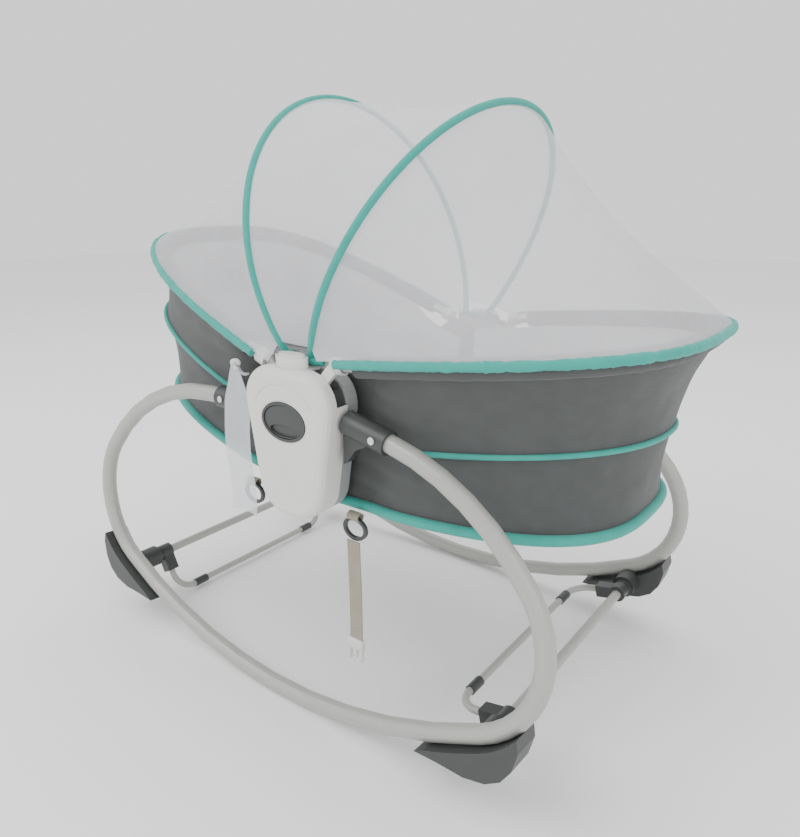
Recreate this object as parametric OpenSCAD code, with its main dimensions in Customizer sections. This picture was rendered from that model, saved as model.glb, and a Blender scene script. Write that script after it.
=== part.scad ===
// Rocking bassinet for a baby: two closed tube loops carry a fabric basket
// between two side hubs, with a net canopy on two hoops.
// Millimetres. +X is the foot end, -Y the near side, +Z up, floor at Z = 0.

/* [Rocker loops] */
// Outside diameter of the loop tube
tube_d = 20; // [16:0.5:25]
// Wall of the loop tube
tube_wall = 1.5; // [1:0.1:2.5]
// Half length of a loop, to the middle of its tube
loop_half = 357; // [330:1:400]
// Bend radius of the bottom run
bottom_r = 629; // [560:1:760]
// Bend radius of the two ends
corner_r = 110; // [95:1:125]
// Bend radius of the upper shoulders
shoulder_r = 278; // [250:1:300]
// Angle above level at which an end turns into its shoulder
shoulder_angle = 36.6; // [30:0.2:42]
// Lean of each loop towards the middle, in degrees
splay = 5; // [2:0.5:7]
// Distance between the loops at the floor
floor_spacing = 433; // [410:1:480]
// Where the loops' middle lies along the length
loop_x = -29.6; // [-40:0.2:0]

/* [Hubs] */
// Where the hubs lie along the length
hub_x = 15.4; // [0:0.2:40]
// Height of the hub axle above the floor
pivot_z = 360; // [350:1:370]
// Width of the hub casing
hub_w = 126; // [116:1:134]
// Height of the casing's top above the axle
hub_up = 58; // [54:1:62]
// Depth of the casing's bottom below the axle
hub_down = 113; // [105:1:125]
// Thickness of the outer cover, front to back
cover_depth = 34; // [32:1:40]
// Wall of the outer cover
cover_wall = 2.5; // [2:0.1:3.5]
// Diameter of the hub axle
axle_d = 12; // [8:0.5:16]
// Width of the finger latch
latch_w = 58; // [48:1:64]
// Height of the finger latch
latch_h = 36; // [30:1:42]
// Press travel of the top button
button_travel = 4; // [2:0.5:5]

/* [Arms] */
// Outside diameter of an arm socket
arm_d = 27; // [25:0.5:30]
// From the hub's middle to the mouth of a foot-end arm
foot_reach = 122; // [112:1:140]
// From the hub's middle to the mouth of a head-end arm
head_reach = 138; // [120:1:150]
// How far a loop tube enters its arm
arm_grip = 35; // [25:1:40]

/* [Feet and stand] */
// Distance of a foot's boss from the middle of its loop
foot_at = 300; // [290:1:310]
// Height of the cross tubes
cross_z = 68; // [64:1:72]
// Diameter of the cross tubes
cross_d = 12; // [10:0.5:14]
// Diameter of the stand bails
bail_d = 9; // [7:0.5:10]
// From a cross tube to the far bar of its bail
bail_reach = 65; // [50:1:68]
// Bend radius of a bail's corners
bail_bend = 28; // [22:1:34]
// Angle of the head bail below level
head_bail_angle = 64; // [0:1:66]
// Angle of the foot bail below level
foot_bail_angle = 12; // [0:1:76]

/* [Bows] */
// Diameter of the rim bows
bow_d = 14; // [10:0.5:16]
// Length of the head bow from the hub line
head_bow_len = 352; // [330:1:370]
// Length of the foot bow from the hub line
foot_bow_len = 364; // [340:1:385]
// Bend radius of the bows' corners
bow_r = 168; // [140:1:180]
// Rise of the head bow, in degrees
head_rise = 22; // [12:0.5:24]
// Rise of the foot bow, in degrees
foot_rise = 6.5; // [0:0.5:12]

/* [Basket] */
// Thickness of the basket fabric
fabric = 3; // [2:0.5:5]
// Height of the mid piping at the hub line
mid_z = 330; // [310:1:350]
// Height of the lower piping at the hub line
low_z = 258; // [250:1:275]
// How far the underside hangs below the lower piping
belly = 14; // [8:1:18]
// Diameter of the mid piping
mid_piping_d = 6; // [4:0.5:9]
// Diameter of the lower piping
low_piping_d = 9; // [6:0.5:12]
// Thickness of the mattress pads
pad_t = 26; // [15:1:35]

/* [Net canopy] */
// Diameter of a covered hoop
hoop_d = 8; // [5:0.5:10]
// How far a hoop's bend radius is over its feet's distance from the middle
hoop_over = 21; // [13:1:33]
// Lean of the head hoop from upright, in degrees
head_hoop_lean = 16; // [8:1:24]
// Lean of the foot hoop from upright, in degrees
foot_hoop_lean = 28; // [18:1:34]
// Thickness of the net with its folds
net_t = 1.2; // [0.8:0.1:2]

/* [Hidden] */

$fn = 48;
gap = 0.4;                      // clearance between pieces that don't touch
running = 0.05;                 // radial clearance of a running fit
clear_cut = 1;                  // how far a cut runs past a face
NEAR = -1;
FAR = 1;
HEAD = -1;
FOOT = 1;

tube_r = tube_d / 2;
tube_v = tube_r / cos(splay);   // height of the tube's middle where it meets the floor
half_floor = floor_spacing / 2;

// Centres of a loop's arcs, in its own plane: [along, up]
corner_c = [loop_half - corner_r,
            tube_v + bottom_r - sqrt(pow(bottom_r - corner_r, 2) - pow(loop_half - corner_r, 2))];
corner_start = -acos((loop_half - corner_r) / (bottom_r - corner_r));
shoulder_c = corner_c - (shoulder_r - corner_r) * [cos(shoulder_angle), sin(shoulder_angle)];
top_v = shoulder_c[1] + shoulder_r;

function mouth(end) = end == FOOT ? foot_reach + (hub_x - loop_x) : head_reach - (hub_x - loop_x);
// Angle at which the shoulder ends and the straight stretch into the arm begins
function shoulder_end(end) = mouth(end) > shoulder_c[0] ? acos((mouth(end) - shoulder_c[0]) / shoulder_r) : 90;
// Distance of a loop's plane from the middle, at a height
function loop_y(z) = half_floor - z * tan(splay);
arm_y = loop_y(pivot_z);

// Layers of a hub, as distances from the middle of the width
shell_back = arm_y - 21;
shell_floor = shell_back + 4;
tongue_y = [shell_floor + 1, shell_floor + 12];
shell_front = tongue_y[1] + 0.6;
cover_back = shell_front + gap;
cover_front = cover_back + cover_depth;
head_disc_y = [cover_back + 3, cover_back + 9];
foot_disc_y = [cover_back + 10, cover_back + 16];
axle_out = foot_disc_y[1] + 3;
bow_y = cover_back + 6;
latch_back = cover_front - 5;

module near_or_far(side) { if (side == NEAR) children(); else mirror([0, 1, 0]) children(); }
module both_sides() { for (side = [NEAR, FAR]) near_or_far(side) children(); }
// Draws something made for the foot end, or its mirror image, about the hub line
module at_hub(end) { translate([hub_x, 0, pivot_z]) mirror([end == FOOT ? 0 : 1, 0, 0]) children(); }
// A cylinder along Y, between two distances on the near side
module across(d, y0, y1) { translate([0, -y0, 0]) rotate([90, 0, 0]) cylinder(d = d, h = y1 - y0); }
module ring_arc(r, a0, a1, d) {
    rotate([0, 0, a0]) rotate_extrude(angle = a1 - a0, $fn = 96) translate([r, 0]) circle(d = d, $fn = 32);
}
module rod(p, q, d) {
    v = q - p;
    translate(p) rotate([0, acos(v[2] / norm(v)), atan2(v[1], v[0])]) cylinder(d = d, h = norm(v), $fn = 32);
}
function ellipse(w, h, n = 40) = [for (i = [0:n - 1]) [w / 2 * cos(360 * i / n), h / 2 * sin(360 * i / n)]];
// A plate drawn in X and Z, between two distances on the near side
module plate(y0, y1, points) { translate([0, -y0, 0]) rotate([90, 0, 0]) linear_extrude(height = y1 - y0) polygon(points); }

// ---- Rocker loops -------------------------------------------------------

// Puts a loop drawn with +X along and +Y up into its leaning plane, near side
module in_loop_plane(end = FOOT) {
    translate([loop_x, -half_floor, 0]) rotate([90 - splay, 0, 0]) mirror([end == FOOT ? 0 : 1, 0, 0]) children();
}
function arc_path(c, r, a0, a1, n) = [for (i = [0:n]) let (a = a0 + (a1 - a0) * i / n) [c[0] + r * cos(a), c[1] + r * sin(a), a]];
function but_last(p) = [for (i = [0:len(p) - 2]) p[i]];
// Middle of a half loop in its own plane, each point with the angle square to the tube
function half_loop_path(end) =
    let (a = shoulder_end(end), start = shoulder_c + shoulder_r * [cos(a), sin(a)],
         stop = start + ((start[0] - mouth(end)) / sin(a) + arm_grip - 0.2) * [-sin(a), cos(a)])
    concat(but_last(arc_path([0, tube_v + bottom_r], bottom_r, -90, corner_start, 5)),
           but_last(arc_path(corner_c, corner_r, corner_start, shoulder_angle, 11)),
           arc_path(shoulder_c, shoulder_r, shoulder_angle, a, 6), [[stop[0], stop[1], a]]);
TUBE_SIDES = 20;
module loop_tube(side, end) {
    path = half_loop_path(end);
    n = len(path);
    function point(i, k, r) = let (p = path[i], b = 360 * (k + 0.5) / TUBE_SIDES)
        [p[0] + r * cos(b) * cos(p[2]), p[1] + r * cos(b) * sin(p[2]), r * sin(b)];
    radii = [tube_r, tube_r - tube_wall];
    function at(wall, i, k) = (wall * n + i) * TUBE_SIDES + k % TUBE_SIDES;
    function quad(a, b, c, d) = [[a, b, c], [a, c, d]];
    steps = [0:TUBE_SIDES - 1];
    points = [for (wall = [0, 1], i = [0:n - 1], k = steps) point(i, k, radii[wall])];
    faces = concat(
        [for (i = [0:n - 2], k = steps) each quad(at(0, i, k), at(0, i, k + 1), at(0, i + 1, k + 1), at(0, i + 1, k))],
        [for (i = [0:n - 2], k = steps) each quad(at(1, i + 1, k), at(1, i + 1, k + 1), at(1, i, k + 1), at(1, i, k))],
        [for (k = steps) each quad(at(1, 0, k), at(1, 0, k + 1), at(0, 0, k + 1), at(0, 0, k))],
        [for (k = steps) each quad(at(0, n - 1, k), at(0, n - 1, k + 1), at(1, n - 1, k + 1), at(1, n - 1, k))]
    );
    color("darkgray") near_or_far(side) in_loop_plane(end) polyhedron(points = points, faces = faces, convexity = 10);
}
sleeve_angle = 4.5;
module loop_joint_sleeves() {
    color("gray") both_sides() in_loop_plane() translate([0, tube_v + bottom_r, 0]) difference() {
        ring_arc(bottom_r, -90 - sleeve_angle, -90 + sleeve_angle, tube_d - 2 * tube_wall - 5 * gap);
        ring_arc(bottom_r, -91 - sleeve_angle, -89 + sleeve_angle, tube_d - 4 * tube_wall - 5 * gap);
    }
}

// ---- Arms ---------------------------------------------------------------

// The arm's own axis, with its mouth at the origin and +Z running towards the hub
module arm_frame(end) {
    a = shoulder_end(end);
    at = mouth(end) > shoulder_c[0] ? shoulder_c + shoulder_r * [cos(a), sin(a)] : [mouth(end), top_v];
    in_loop_plane(end) translate([at[0], at[1], 0]) rotate([0, 0, a + 90]) rotate([0, 90, 0]) children();
}
rivet_back = 13;                // rivet's place behind the mouth
rivet_d = 5;
flank = hub_w / 2 + 1.5;        // where a socket ends, beside the casing
function socket_len(end) = (end == FOOT ? foot_reach : head_reach) - flank;
module arms(end) {
    color("dimgray") both_sides() difference() {
        union() {
            arm_frame(end) rotate([0, 0, 25]) cylinder(d = arm_d, h = socket_len(end));
            at_hub(end) plate(tongue_y[0], tongue_y[1],
                [[14, -11], [flank + 14, -11], [flank + 14, 9], [14, 9]]);
            at_hub(end) plate(arm_y - 6, arm_y + 6,
                [[flank, -4], [flank + 34, -4], [flank + 30, -15], [flank + 16, -22], [flank + 4, -38], [flank, -40]]);
        }
        arm_frame(end) translate([0, 0, -clear_cut]) rotate([0, 0, 40]) cylinder(d = tube_d, h = arm_grip + clear_cut);
        arm_frame(end) translate([0, 0, rivet_back]) rotate([0, 90, 0]) cylinder(d = rivet_d, h = 60, center = true);
    }
}
module arm_rivets() {
    for (end = [HEAD, FOOT]) both_sides() arm_frame(end)
        translate([0, 0, rivet_back]) for (s = [-1, 1]) rotate([0, 90 * s, 0]) {
            translate([0, 0, tube_r + 0.2]) cylinder(d = rivet_d - 0.2, h = arm_d / 2 - tube_r);
            translate([0, 0, arm_d / 2 + 0.1]) cylinder(d = rivet_d + 3, h = 1.4);
        }
}

// ---- Hubs ---------------------------------------------------------------

// Circles that round the casing's outline, going round it: [x, z, r]
casing_circles = [
    [hub_w / 2 - 38, hub_up - 38, 38], [38 - hub_w / 2, hub_up - 38, 38],
    [-8, 40 - hub_down, 40], [8, 40 - hub_down, 40]
];
CORNER_STEPS = 9;
// Direction square to the tangent that joins circle i to the next
function tangent_dir(i) =
    let (a = casing_circles[i % 4], b = casing_circles[(i + 1) % 4], d = [b[0] - a[0], b[1] - a[1]])
    atan2(d[1], d[0]) - 90 + asin((b[2] - a[2]) / norm(d)) * -1;
function turn_to(a, b) = b < a ? turn_to(a, b + 360) : b;
function casing_outline(inset) = [
    for (i = [0:3]) let (a0 = tangent_dir(i + 3), a1 = turn_to(a0, tangent_dir(i)), c = casing_circles[i])
        for (k = [0:CORNER_STEPS]) let (a = a0 + (a1 - a0) * k / CORNER_STEPS)
            [c[0] + (c[2] - inset) * cos(a), c[1] + (c[2] - inset) * sin(a)]
];
// Joins rings of points, all with the same count, into one closed solid with flat ends
module loft(rings) {
    n = len(rings[0]);
    rows = len(rings);
    points = [for (r = rings) each r];
    faces = concat(
        [[for (k = [0:n - 1]) k]],
        [for (i = [0:rows - 2], k = [0:n - 1])
            let (a = i * n + k, b = i * n + (k + 1) % n) each [[a, a + n, b + n], [a, b + n, b]]],
        [[for (k = [0:n - 1]) (rows - 1) * n + n - 1 - k]]
    );
    polyhedron(points = points, faces = faces, convexity = 6);
}
// Depth behind the front face and inset of each step of the cover's rounded edge
edge_steps = [[9, 0], [5, 1.2], [2, 3.6], [0, 8]];
module cover_solid(back, inset, front) {
    loft([for (e = concat([[cover_front - back, 0]], edge_steps))
        [for (p = casing_outline(inset + e[1])) [p[0], -(cover_front - front - max(e[0], 0)) + (e[0] > 20 ? front * -1 : 0), p[1]]]]);
}
slot_span = [20, 66];           // angles of a bow arm's slot at the casing's corner
function sector(r0, r1, a0, a1, n = 10) = concat(
    [for (i = [0:n]) let (a = a0 + (a1 - a0) * i / n) r1 * [cos(a), sin(a)]],
    [for (i = [n:-1:0]) let (a = a0 + (a1 - a0) * i / n) r0 * [cos(a), sin(a)]]
);
button_w = 44;
button_depth = 22;
button_y = cover_back + cover_depth / 2;
bolt_at = [0, -42];             // lock bolt's place from the axle: [along, up]
bolt_d = 9;
screw_at = [[-36, 34], [36, 34], [0, -88]];
module hub_cover(side) {
    color("white") near_or_far(side) at_hub(FOOT) difference() {
        cover_solid(cover_back, 0, 0);
        cover_solid(cover_back - clear_cut, cover_wall, cover_wall);
        plate(cover_front - 8, cover_front + 2, ellipse(latch_w + 8 + 2 * gap, latch_h + 8 + 2 * gap));
        translate([0, -button_y, hub_up - 16]) linear_extrude(height = 30)
            polygon(ellipse(button_w + 2 * gap, button_depth + 2 * gap));
        for (k = [-1, 1]) mirror([k < 0 ? 1 : 0, 0, 0])
            plate(cover_back - clear_cut, foot_disc_y[1] + gap, sector(45, 100, slot_span[0], slot_span[1]));
    }
}
hoop_out = cover_back + 1;      // hoop feet's distance from the middle
hoop_r = hoop_out + hoop_over;
hoop_z = 425;
function hoop_along(end) = end == HEAD ? -22 : 13;
module hub_shell(side) {
    color("silver") near_or_far(side) at_hub(FOOT) difference() {
        union() {
            plate(shell_back, shell_front, casing_outline(1));
            // posts and pins for the net's hoops
            for (end = [HEAD, FOOT]) translate([hoop_along(end), 0, hoop_z - pivot_z]) {
                plate(shell_back + 6, shell_back + 10, [[-5, -14], [5, -14], [5, 5], [-5, 5]]);
                across(4, shell_back + 6, hoop_out + 4);
            }
        }
        plate(shell_floor, shell_front + clear_cut, [for (p = casing_outline(3.5)) [p[0], min(p[1], hub_up - 11)]]);
        across(axle_d, shell_floor - 2, shell_front);
        translate([bolt_at[0], 0, bolt_at[1]]) across(bolt_d + 2 * running, shell_back - clear_cut, shell_front);
        for (k = [-1, 1]) plate(tongue_y[0] - gap, shell_front + clear_cut,
            [[k * 12, -11.4], [k * 90, -11.4], [k * 90, 9.4], [k * 12, 9.4]]);
        for (s = screw_at) translate([s[0], 0, s[1]]) across(4, shell_back - clear_cut, shell_front);
    }
}
module hub_axles() { color("silver") both_sides() at_hub(FOOT) across(axle_d, shell_floor - 2, axle_out); }
module hub_screws() {
    both_sides() at_hub(FOOT) for (s = screw_at) translate([s[0], 0, s[1]]) {
        across(3.6, shell_back - 0.5, shell_front - 1);
        across(7, shell_back - 2, shell_back - 0.4);
    }
}
module frame_fasteners() { color("silver") { arm_rivets(); hub_screws(); } }
module latch_rings() {
    color("dimgray") both_sides() at_hub(FOOT) difference() {
        plate(cover_front - 4, cover_front + 1, ellipse(latch_w + 8, latch_h + 8));
        plate(cover_front - 5, cover_front + 2, ellipse(latch_w + 1.4, latch_h + 1.4));
    }
}
latch_hinge_z = latch_h / 2 - 4;
module latch(side) {
    color("dimgray") near_or_far(side) at_hub(FOOT) difference() {
        plate(latch_back, latch_back + 5, ellipse(latch_w, latch_h));
        translate([0, 0, -latch_h / 4 - 1]) plate(latch_back + 2.5, latch_back + 6, ellipse(latch_w - 16, latch_h / 2 - 5));
    }
}
module lock_bolt(side) {
    color("silver") near_or_far(side) at_hub(FOOT) translate([bolt_at[0], 0, bolt_at[1]]) {
        across(bolt_d, shell_back + 1, shell_front + 16);
        across(bolt_d + 7, shell_front + 16, shell_front + 19);
    }
}
module bolt_spring(side) {
    color("gray") near_or_far(side) at_hub(FOOT) translate([bolt_at[0], 0, bolt_at[1]]) difference() {
        across(bolt_d + 5, shell_front + 1, shell_front + 15.6);
        across(bolt_d + 1.5, shell_front, shell_front + 17);
    }
}
module button(side) {
    color("white") near_or_far(side) at_hub(FOOT) {
        translate([0, -button_y, hub_up - 5.5]) linear_extrude(height = 17) polygon(ellipse(button_w, button_depth));
        translate([0, -button_y, hub_up + 11.5]) linear_extrude(height = 3)
            polygon(ellipse(button_w - 8, button_depth - 7));
        translate([0, -button_y, hub_up - 7]) linear_extrude(height = 1.5) polygon(ellipse(24, button_depth + 1.4));
    }
}

// ---- Feet and stand -----------------------------------------------------

foot_width = 36;
boss_d = 30;
cross_end = loop_y(cross_z) - tube_r - 2;
// Outline of a foot in the loop's plane: its upper edge lies along the tube's underside
under_r = tube_r + 0.3;
foot_outline = concat(
    [[foot_at - 68, 41.5], [foot_at - 40, 43], [foot_at - 8, 43], [foot_at + 16, 49], [foot_at + 32, 60],
     [foot_at + 42, 76], [foot_at + 47, 98]],
    [for (a = [-36:-6:-60]) corner_c + (corner_r + under_r) * [cos(a), sin(a)]],
    [for (a = [0:1:6]) [0, tube_v + bottom_r] + (bottom_r + under_r) * [cos(corner_start - a), sin(corner_start - a)]]
);
function foot_x(end) = loop_x + end * foot_at;
module feet(end) {
    color("dimgray") both_sides() difference() {
        union() {
            in_loop_plane(end) translate([0, 0, -foot_width / 2]) linear_extrude(height = foot_width) polygon(foot_outline);
            translate([foot_x(end), 0, cross_z]) across(boss_d, cross_end - 26, cross_end - 0.2);
        }
        translate([foot_x(end), 0, cross_z]) across(cross_d, cross_end - 30, cross_end);
    }
}
module cross_tube(end) {
    color("silver") translate([foot_x(end), cross_end - gap, cross_z]) rotate([90, 0, 0]) difference() {
        cylinder(d = cross_d, h = 2 * (cross_end - gap));
        translate([0, 0, -clear_cut]) cylinder(d = cross_d - 2.4, h = 2 * cross_end + 2 * clear_cut);
    }
}
cap_y = [cross_end - 32, cross_end - 26];
module cross_tube_caps() {
    color("dimgray") for (end = [HEAD, FOOT]) both_sides() translate([foot_x(end), 0, cross_z]) difference() {
        across(boss_d - 7, cap_y[0], cap_y[1]);
        across(cross_d, cap_y[0] - clear_cut, cap_y[1] + clear_cut);
    }
}
block_y = [cap_y[0] - 18, cap_y[0] - 1];
leg_y = (block_y[0] + block_y[1]) / 2;
block_len = 30;
// A bail is drawn level, with its bar towards +X, then swung down about the cross tube
module bail_place(end) {
    translate([foot_x(end), 0, cross_z]) mirror([end == HEAD ? 0 : 1, 0, 0])
        rotate([0, end == HEAD ? head_bail_angle : foot_bail_angle, 0]) children();
}
module bail(end) {
    color("silver") bail_place(end) {
        for (s = [-1, 1]) {
            rod([block_len - 10, s * leg_y, 0], [bail_reach - bail_bend, s * leg_y, 0], bail_d);
            translate([bail_reach - bail_bend, s * (leg_y - bail_bend), 0])
                ring_arc(bail_bend, s > 0 ? 0 : -90, s > 0 ? 90 : 0, bail_d);
        }
        rod([bail_reach, -(leg_y - bail_bend), 0], [bail_reach, leg_y - bail_bend, 0], bail_d);
    }
}
sleeve_len = 22;
module bail_grips(end) {
    color("black") bail_place(end) for (s = [-1, 1]) mirror([0, s < 0 ? 0 : 1, 0]) {
        difference() {
            union() {
                across(cross_d + 10, block_y[0], block_y[1]);
                translate([0, -block_y[1], -8]) cube([block_len, block_y[1] - block_y[0], 16]);
            }
            across(cross_d + 2 * running, block_y[0] - clear_cut, block_y[1] + clear_cut);
            rod([block_len - 10, -leg_y, 0], [block_len + clear_cut, -leg_y, 0], bail_d);
        }
        translate([bail_reach, 0, 0]) difference() {
            across(bail_d + 3, leg_y - bail_bend - 1 - sleeve_len, leg_y - bail_bend - 1);
            across(bail_d, leg_y - bail_bend - 2 - sleeve_len, leg_y - bail_bend);
        }
    }
}

// ---- Bows, bow plates, seat tubes, boards and pads -----------------------

function rise(end) = end == HEAD ? head_rise : foot_rise;
function bow_z(end) = end == HEAD ? 397 : 418;
function bow_len(end) = end == HEAD ? head_bow_len : foot_bow_len;
// Tilts something drawn level, with +X away from the hub line
module tilted(end, z, angle) {
    translate([hub_x, 0, z]) mirror([end == FOOT ? 0 : 1, 0, 0]) rotate([0, -angle, 0]) children();
}
// A U of tube: two straight sides, two round corners and a straight end
module u_tube(start, len, w, r, d) {
    for (k = [-1, 1]) {
        rod([start, k * w, 0], [len - r, k * w, 0], d);
        translate([len - r, k * (w - r), 0]) ring_arc(r, k > 0 ? 0 : -90, k > 0 ? 90 : 0, d);
    }
    rod([len, r - w, 0], [len, w - r, 0], d);
}
bow_start = 58;                 // from the hub line to the bow's open ends, in their sockets
function bow_ring(end, start) = [bow_len(end), bow_y, bow_y, 3, bow_z(end), bow_len(end) * tan(rise(end)), 1, start];
module bow(end) {
    x = bow_start * cos(rise(end));
    tip = [hub_x + end * x, bow_y, bow_z(end) + x * tan(rise(end))];
    color("gray") swept(concat([[tip[0], -tip[1], tip[2]]], ring(end, bow_ring(end, 92)), [tip]), bow_d);
}
arm_half = 6;
module bow_plates(end) {
    y = end == HEAD ? head_disc_y : foot_disc_y;
    r = rise(end);
    // where the bow's open end lies from the axle
    tip = [bow_start * cos(r), bow_z(end) - pivot_z + bow_start * sin(r)];
    n = arm_half * [-tip[1], tip[0]] / norm(tip);
    color("white") both_sides() {
        at_hub(end) difference() {
            union() {
                across(56, y[0], y[1]);
                plate(y[0], y[1], [n, tip * 0.97 + n, tip * 0.97 - n, -n]);
            }
            across(axle_d + 2 * running, y[0] - clear_cut, y[1] + clear_cut);
        }
        tilted(end, bow_z(end), r) difference() {
            rod([bow_start - 6, -bow_y, 0], [bow_start + 8, -bow_y, 0], bow_d + 5);
            rod([bow_start, -bow_y, 0], [bow_start + 9, -bow_y, 0], bow_d + 2 * gap);
        }
    }
}
function floor_rise(end) = end == HEAD ? 11 : 1.8;
function seat_len(end) = end == HEAD ? 356 : 304;
seat_z = low_z + 12;
seat_half = 132;                // half width of the seat's U tube
module seat_tube(end) {
    tilted(end, seat_z, floor_rise(end)) u_tube(34, seat_len(end), seat_half, 130, 12);
}
function plan(a, b, n, start, steps = 14) =
    let (t0 = asin(pow(start / a, n / 2)))
    concat(
        [for (i = [0:steps - 1]) let (t = t0 + (90 - t0) * i / steps) [a * pow(sin(t), 2 / n), -b * pow(cos(t), 2 / n)]],
        [[a, 0]],
        [for (i = [steps - 1:-1:0]) let (t = t0 + (90 - t0) * i / steps) [a * pow(sin(t), 2 / n), b * pow(cos(t), 2 / n)]]
    );
module board(end) {
    tilted(end, seat_z - 1, floor_rise(end)) linear_extrude(height = 3) polygon(plan(seat_len(end) - 1, seat_half + 1, 3, 36));
}
module seat(end) { color("gray") { seat_tube(end); board(end); } }
module pad(end) {
    color("lightgray") tilted(end, seat_z + 8, floor_rise(end)) linear_extrude(height = pad_t)
        polygon(plan(seat_len(end) - 8, 136, 3, 18));
}

// ---- Basket -------------------------------------------------------------

// Rings of the wall: [length, half width at the hub, half width beyond it, squareness, z, rise, power, gap]
function rim_ring(end) = end == HEAD
    ? [bow_len(end), 156, bow_y - 3, 3, bow_z(end) - 11, bow_len(end) * tan(head_rise), 1, 12]
    : [bow_len(end), 156, bow_y - 3, 3, bow_z(end) - 10, bow_len(end) * tan(foot_rise), 1, 12];
function mid_ring(end) = end == HEAD
    ? [372, 158, 167, 3.4, mid_z, 122, 1.3, 14]
    : [338, 158, 169, 2.3, mid_z, 30, 1.3, 14];
function low_ring(end) = end == HEAD
    ? [378, 156, 160, 3, low_z, 78, 1.3, 24]
    : [326, 156, 162, 3, low_z, 11, 1.3, 24];
RING_STEPS = 14;
// Points round a ring, from the near hub line round the end to the far one
function ring(end, r, inset = 0, lift = 0) =
    let (t0 = asin(pow(r[7] / r[0], r[3] / 2)))
    [for (i = [-RING_STEPS:RING_STEPS])
        let (t = 90 - (90 - t0) * abs(i) / RING_STEPS, u = pow(sin(t), 2 / r[3]), v = pow(max(cos(t), 0), 2 / r[3]),
             x = (r[0] - inset) * u, flare = min(max((x - 62) / 60, 0), 1),
             w = r[1] + (r[2] - r[1]) * flare * flare * (3 - 2 * flare))
            [hub_x + end * x, (i < 0 ? -1 : 1) * (w - inset) * (i == 0 ? 0 : v), r[4] + r[5] * pow(u, r[6]) + lift]];
function mix(a, b, t) = a + (b - a) * t;
WAIST = 4;                      // how far the fabric pulls in between two pipings
SIDE_STEPS = 3;
FLOOR_STEPS = 3;
function side_row(end, i, inset) =
    let (low = i > SIDE_STEPS, t = (i - (low ? SIDE_STEPS : 0)) / SIDE_STEPS, in = inset + WAIST * 4 * t * (1 - t),
         a = ring(end, low ? mid_ring(end) : rim_ring(end), in), b = ring(end, low ? low_ring(end) : mid_ring(end), in))
    [for (j = [0:len(a) - 1]) mix(a[j], b[j], t)];
function floor_z(end, x) = let (r = low_ring(end)) r[4] + r[5] * pow(abs(x - hub_x) / r[0], r[6]);
function floor_row(end, i, inset) =
    let (s = 1 - 0.45 * i / FLOOR_STEPS, x0 = hub_x + end * low_ring(end)[7])
    [for (p = ring(end, low_ring(end), inset, inset)) let (x = x0 + (p[0] - x0) * s)
        [x, p[1] * s, floor_z(end, x) + inset - belly * (1 - s * s)]];
function floor_cap(end, inset) =
    let (last = floor_row(end, FLOOR_STEPS, inset), z0 = last[0][2], x0 = last[0][0], n = len(last),
         slope = (last[RING_STEPS][2] - z0) / abs(last[RING_STEPS][0] - x0))
    [for (p = last) [p[0], p[1], z0 + slope * abs(p[0] - x0)]];
function skin(end, inset) = concat(
    [for (i = [0:2 * SIDE_STEPS]) side_row(end, i, inset)],
    [for (i = [1:FLOOR_STEPS - 1]) floor_row(end, i, inset)],
    [floor_cap(end, inset)]
);
// Closes two skins, each of rows x cols points, into one shell. A capped one is closed across its last row too.
module shell_between(outer, inner, flip, capped = false) {
    rows = len(outer);
    cols = len(outer[0]);
    function at(skin, i, j) = (skin * rows + i) * cols + j;
    function quad(a, b, c, d) = [[a, b, c], [a, c, d]];
    points = concat([for (r = outer) each r], [for (r = inner) each r]);
    faces = concat(
        [for (i = [0:rows - 2], j = [0:cols - 2])
            each quad(at(0, i, j), at(0, i, j + 1), at(0, i + 1, j + 1), at(0, i + 1, j))],
        [for (i = [0:rows - 2], j = [0:cols - 2])
            each quad(at(1, i + 1, j), at(1, i + 1, j + 1), at(1, i, j + 1), at(1, i, j))],
        [for (j = [0:cols - 2]) each quad(at(1, 0, j), at(1, 0, j + 1), at(0, 0, j + 1), at(0, 0, j))],
        [for (i = [0:rows - 2]) each quad(at(0, i, 0), at(0, i + 1, 0), at(1, i + 1, 0), at(1, i, 0))],
        [for (i = [0:rows - 2])
            each quad(at(1, i, cols - 1), at(1, i + 1, cols - 1), at(0, i + 1, cols - 1), at(0, i, cols - 1))],
        capped ? concat(
            [[for (j = [0:cols - 1]) at(0, rows - 1, j)]],
            [[for (j = [cols - 1:-1:0]) at(1, rows - 1, j)]],
            quad(at(0, rows - 1, 0), at(0, rows - 1, cols - 1), at(1, rows - 1, cols - 1), at(1, rows - 1, 0))
        ) : [for (j = [0:cols - 2])
            each quad(at(0, rows - 1, j), at(0, rows - 1, j + 1), at(1, rows - 1, j + 1), at(1, rows - 1, j))]
    );
    polyhedron(points = points, faces = flip ? [for (f = faces) [for (k = [len(f) - 1:-1:0]) f[k]]] : faces, convexity = 8);
}
module wall(end) { color("dimgray") shell_between(skin(end, 0), skin(end, fabric), end == FOOT, true); }

// Cloth that closes the slot between a wall's edge and the hub line: the wall's own edge, moved to the line
function edge_profile(end, inset, to_line) =
    let (rows = skin(end, inset), cut = [for (r = rows) r[0]], back = [for (i = [len(rows) - 1:-1:0]) rows[i][2 * RING_STEPS]],
         all = concat(cut, back))
    [for (p = all) [to_line ? hub_x + end * 0.4 : p[0] - end * 0.4, p[1], to_line ? p[2] : p[2]]];
module gusset(end) {
    color("dimgray") shell_between([edge_profile(end, 0, true), edge_profile(end, 0, false)],
                                   [edge_profile(end, fabric, true), edge_profile(end, fabric, false)], end == HEAD);
}

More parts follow.
